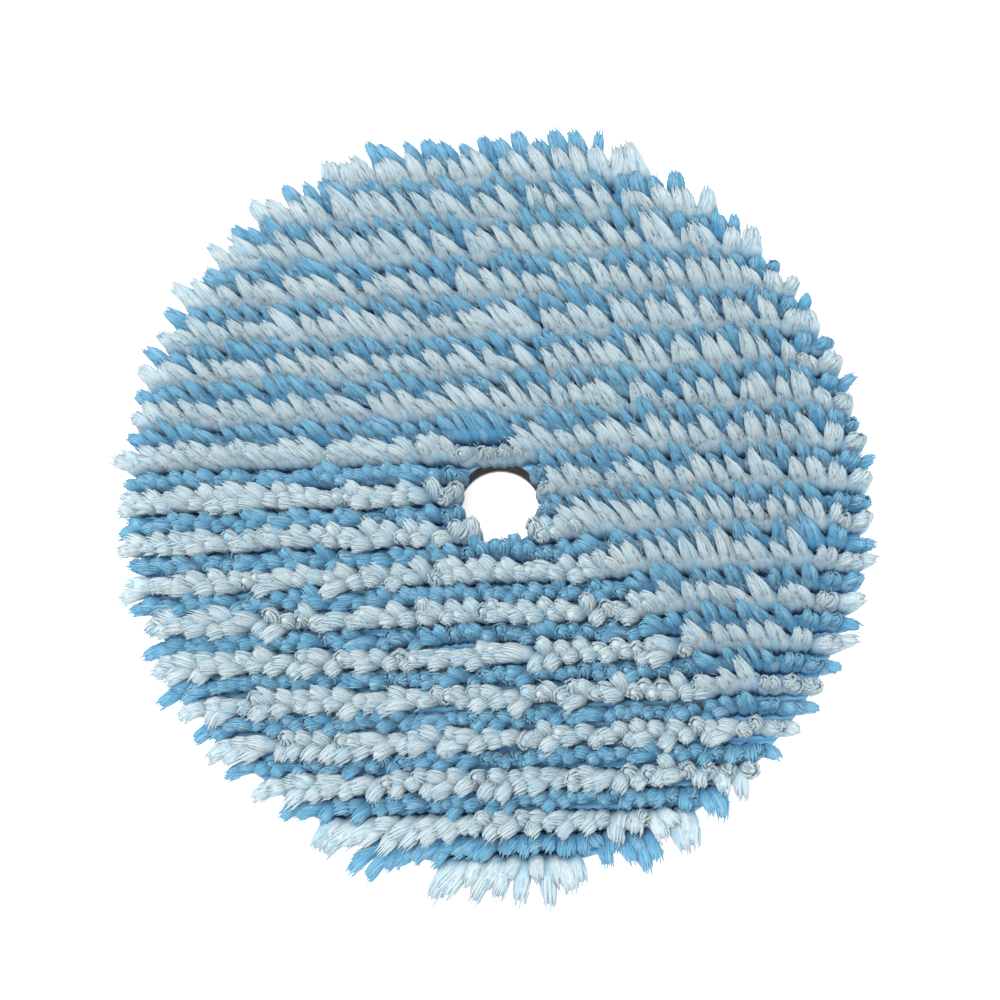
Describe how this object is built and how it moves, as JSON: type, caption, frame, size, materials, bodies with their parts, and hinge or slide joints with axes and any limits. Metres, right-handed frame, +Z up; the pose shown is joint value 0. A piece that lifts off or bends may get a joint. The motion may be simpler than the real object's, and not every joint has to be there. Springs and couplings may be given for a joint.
{
  "type": "polishing pad",
  "caption": "Round soft polishing pad with rows of blue and white twisted-yarn pile, a foam core, a hook-and-loop back and a centre hole.",
  "frame": {"origin": "centre of the loop face that grips the polisher's plate, where the centre hole's axis meets it", "axes": "+Z up the centre hole from the loop face to the tips of the pile, +X along the rows of tufts, +Y across them from the first row to the last"},
  "size_m": [0.146, 0.146, 0.0251],
  "materials": {
    "white_yarn": "matte",
    "blue_yarn": "matte",
    "ground_knit": "matte",
    "foam": "matte",
    "glue": "satin",
    "loop_fabric": "matte"
  },
  "bodies": {
    "backing": {"loop_disc": "loop_fabric", "lower_glue_film": "glue", "foam_core": "foam"},
    "face": {"upper_glue_film": "glue", "ground_cloth": "ground_knit", "white_row_front_18": "white_yarn", "blue_row_front_17": "blue_yarn", "white_row_front_16": "white_yarn", "blue_row_front_15": "blue_yarn", "white_row_front_14": "white_yarn", "blue_row_front_13": "blue_yarn", "white_row_front_12": "white_yarn", "blue_row_front_11": "blue_yarn", "white_row_front_10": "white_yarn", "blue_row_front_09": "blue_yarn", "white_row_front_08": "white_yarn", "blue_row_front_07": "blue_yarn", "white_row_front_06": "white_yarn", "blue_row_front_05": "blue_yarn", "white_row_front_04": "white_yarn", "blue_row_front_03": "blue_yarn", "white_row_front_02_left": "white_yarn", "white_row_front_02_right": "white_yarn", "blue_row_front_01_left": "blue_yarn", "blue_row_front_01_right": "blue_yarn", "white_row_middle_left": "white_yarn", "white_row_middle_right": "white_yarn", "blue_row_rear_01_left": "blue_yarn", "blue_row_rear_01_right": "blue_yarn", "white_row_rear_02": "white_yarn", "blue_row_rear_03": "blue_yarn", "white_row_rear_04": "white_yarn", "blue_row_rear_05": "blue_yarn", "white_row_rear_06": "white_yarn", "blue_row_rear_07": "blue_yarn", "white_row_rear_08": "white_yarn", "blue_row_rear_09": "blue_yarn", "white_row_rear_10": "white_yarn", "blue_row_rear_11": "blue_yarn", "white_row_rear_12": "white_yarn", "blue_row_rear_13": "blue_yarn", "white_row_rear_14": "white_yarn", "blue_row_rear_15": "blue_yarn", "white_row_rear_16": "white_yarn", "blue_row_rear_17": "blue_yarn"}
  },
  "joints": [
    {"name": "foam_squeeze", "type": "slide", "parent": "backing", "child": "face", "axis": [0, 0, -1], "range_m": [0, 0.004], "stiffness_N_per_m": 22800, "deforming": ["foam_core"]}
  ]
}
